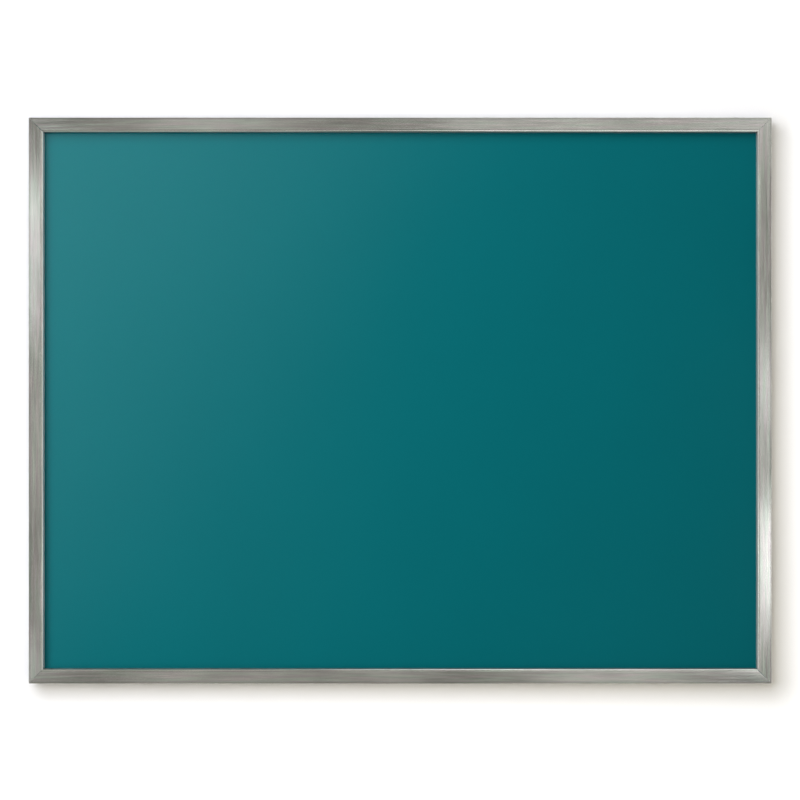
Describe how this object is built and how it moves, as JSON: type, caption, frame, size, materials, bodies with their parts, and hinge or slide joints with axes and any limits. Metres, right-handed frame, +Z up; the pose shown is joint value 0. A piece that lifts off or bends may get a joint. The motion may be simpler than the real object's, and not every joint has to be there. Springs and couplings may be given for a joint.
{
  "type": "magnetic board",
  "caption": "Wall-hung magnetic board: a teal coated steel sheet set back in a narrow mitred metal frame, with hanging rings, corner hardware and wall bumpers behind.",
  "frame": {"origin": "centre of the board on the wall plane, at the flat backs of the four bumpers", "axes": "+X to the right along the width as seen from the front, +Y from the board into the wall, +Z up; the board faces -Y"},
  "size_m": [0.64, 0.0243, 0.4876],
  "materials": {
    "frame_metal": "brushed lengthwise, satin, warm grey",
    "teal_coat": "satin teal coating on steel",
    "hardboard": "bare brown hardboard",
    "spring_steel": "blued spring steel",
    "zinc": "bright zinc plate",
    "nickel": "nickel-plated wire",
    "rubber": "matt black rubber"
  },
  "bodies": {
    "board": {"rail_top": "frame_metal", "rail_bottom": "frame_metal", "stile_left": "frame_metal", "stile_right": "frame_metal", "steel_sheet": "teal_coat", "backing_board": "hardboard", "spring_top_left": "spring_steel", "spring_top_right": "spring_steel", "spring_bottom_left": "spring_steel", "spring_bottom_right": "spring_steel", "spring_left": "spring_steel", "spring_right": "spring_steel", "shim_top_left": "zinc", "shim_top_right": "zinc", "shim_bottom_left": "zinc", "shim_bottom_right": "zinc", "corner_plate_top_left": "zinc", "corner_plate_top_right": "zinc", "corner_plate_bottom_left": "zinc", "corner_plate_bottom_right": "zinc", "corner_screw_top_left_1": "zinc", "corner_screw_top_left_2": "zinc", "corner_screw_top_right_1": "zinc", "corner_screw_top_right_2": "zinc", "corner_screw_bottom_left_1": "zinc", "corner_screw_bottom_left_2": "zinc", "corner_screw_bottom_right_1": "zinc", "corner_screw_bottom_right_2": "zinc", "hanger_left": "zinc", "hanger_right": "zinc", "hanger_screw_left": "zinc", "hanger_screw_right": "zinc", "bumper_top_left": "rubber", "bumper_top_right": "rubber", "bumper_bottom_left": "rubber", "bumper_bottom_right": "rubber"},
    "left_ring": {"ring_left": "nickel"},
    "right_ring": {"ring_right": "nickel"}
  },
  "joints": [
    {"name": "ring_left_swing", "type": "hinge", "parent": "board", "child": "left_ring", "pos_m": [-0.3144, -0.00265, 0.12175], "axis": [1, 0, 0], "range_deg": [0, 180]},
    {"name": "ring_right_swing", "type": "hinge", "parent": "board", "child": "right_ring", "pos_m": [0.3144, -0.00265, 0.12175], "axis": [1, 0, 0], "range_deg": [0, 180]}
  ]
}
